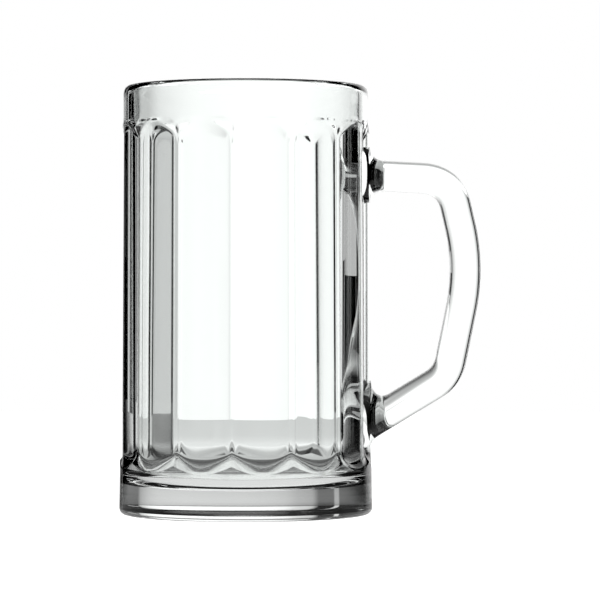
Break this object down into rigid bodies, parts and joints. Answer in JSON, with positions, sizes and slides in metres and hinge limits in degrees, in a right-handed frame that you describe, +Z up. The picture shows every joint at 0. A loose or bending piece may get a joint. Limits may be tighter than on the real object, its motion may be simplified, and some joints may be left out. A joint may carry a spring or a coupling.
{
  "type": "beer mug",
  "caption": "Clear pressed-glass beer mug with a straight barrel of 13 arch-topped convex panels, a thick solid base, a plain rounded lip and a bowed side handle fused to the wall.",
  "frame": {"origin": "middle of the flat underside, on the barrel's axis", "axes": "+Z up along the barrel's axis towards the lip, +X towards the handle, +Y across the handle"},
  "size_m": [0.1287, 0.09, 0.152],
  "materials": {
    "barrel_glass": "clear pressed soda-lime glass, fire-polished, with a faint mould waviness",
    "handle_glass": "clear drawn soda-lime glass, fire-polished"
  },
  "bodies": {
    "root": {"mug_body": "barrel_glass", "handle": "handle_glass"}
  },
  "joints": []
}
